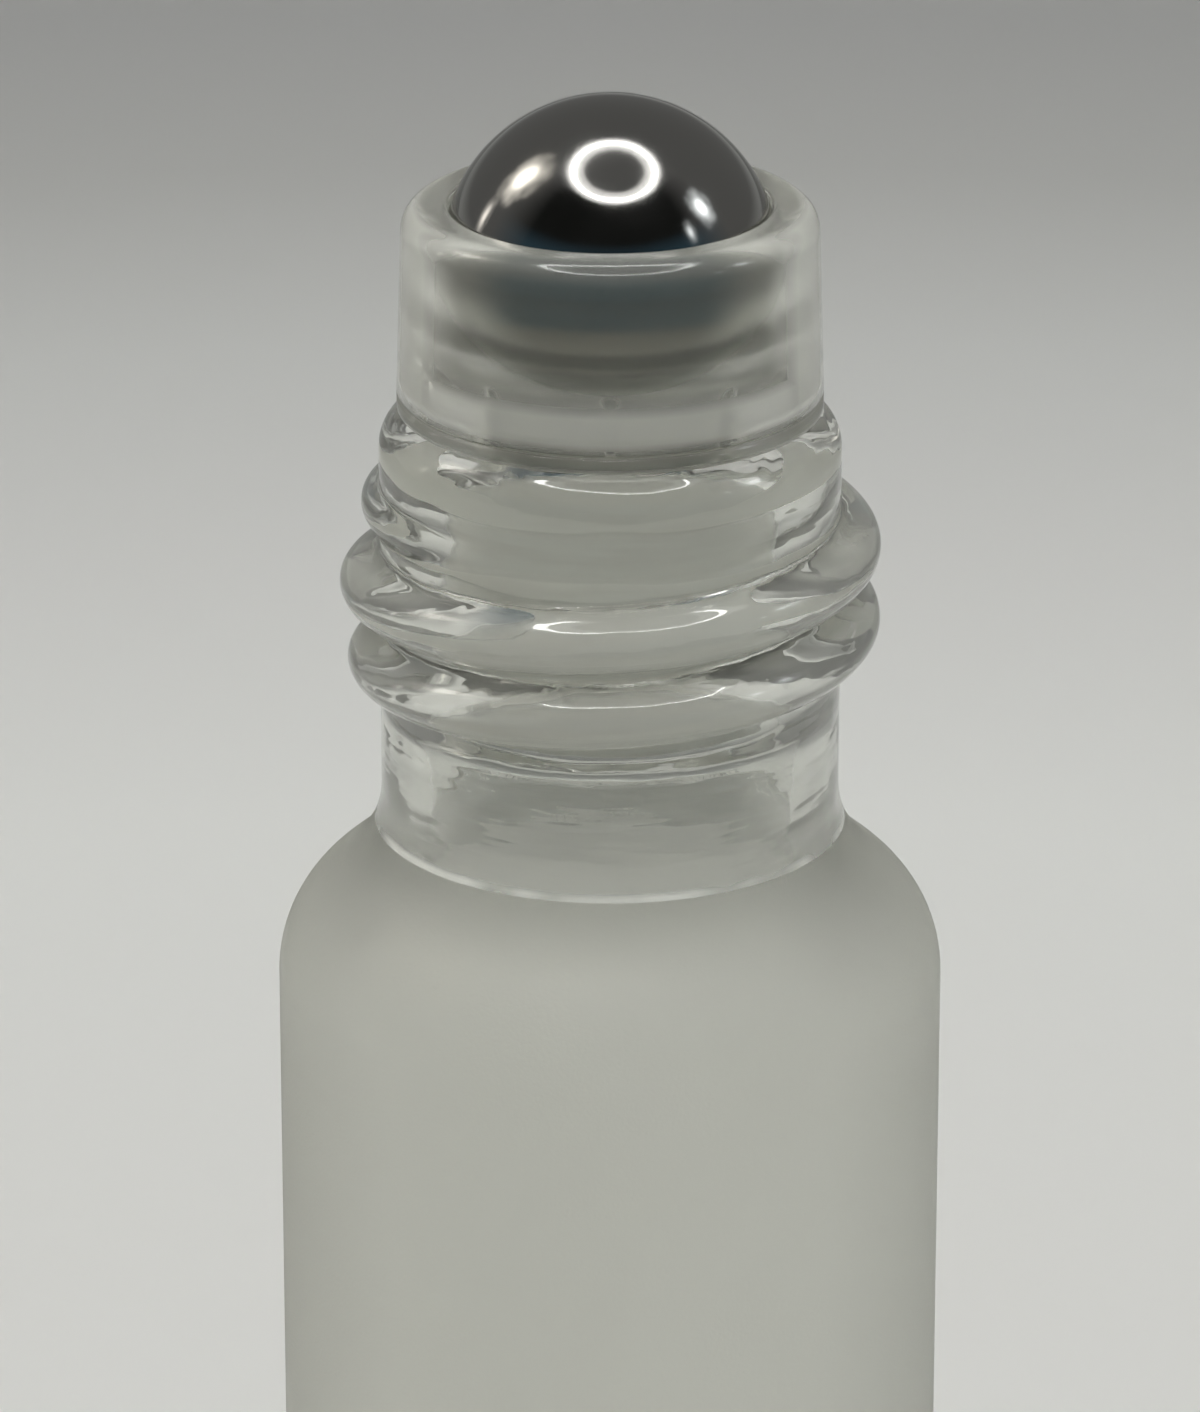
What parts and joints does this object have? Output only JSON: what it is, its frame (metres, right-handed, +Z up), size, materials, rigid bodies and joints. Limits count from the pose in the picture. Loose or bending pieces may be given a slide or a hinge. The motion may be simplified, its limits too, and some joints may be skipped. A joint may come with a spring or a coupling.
{
  "type": "roll-on bottle",
  "caption": "Small frosted glass bottle with a clear threaded neck, a translucent roller housing pressed into the neck, and a steel roller ball.",
  "frame": {"origin": "middle of the base, on the plane the bottle stands on", "axes": "+Z up along the bottle's axis, front towards -Y, the thread's upper end at the front"},
  "size_m": [0.02, 0.02, 0.0824],
  "materials": {
    "glass": "clear glass, frosted on the outside of the body below the neck",
    "housing_plastic": "translucent natural plastic",
    "ball_steel": "polished steel"
  },
  "bodies": {
    "bottle": {"bottle": "glass"},
    "roller_housing": {"roller_housing": "housing_plastic"},
    "roller_ball": {"roller_ball": "ball_steel"}
  },
  "joints": [
    {"name": "housing_pull", "type": "slide", "parent": "bottle", "child": "roller_housing", "axis": [0, 0, 1], "range_m": [0, 0.009]},
    {"name": "ball_roll", "type": "hinge", "parent": "roller_housing", "child": "roller_ball", "pos_m": [0, 0, 0.07743], "axis": [1, 0, 0], "continuous": true}
  ]
}
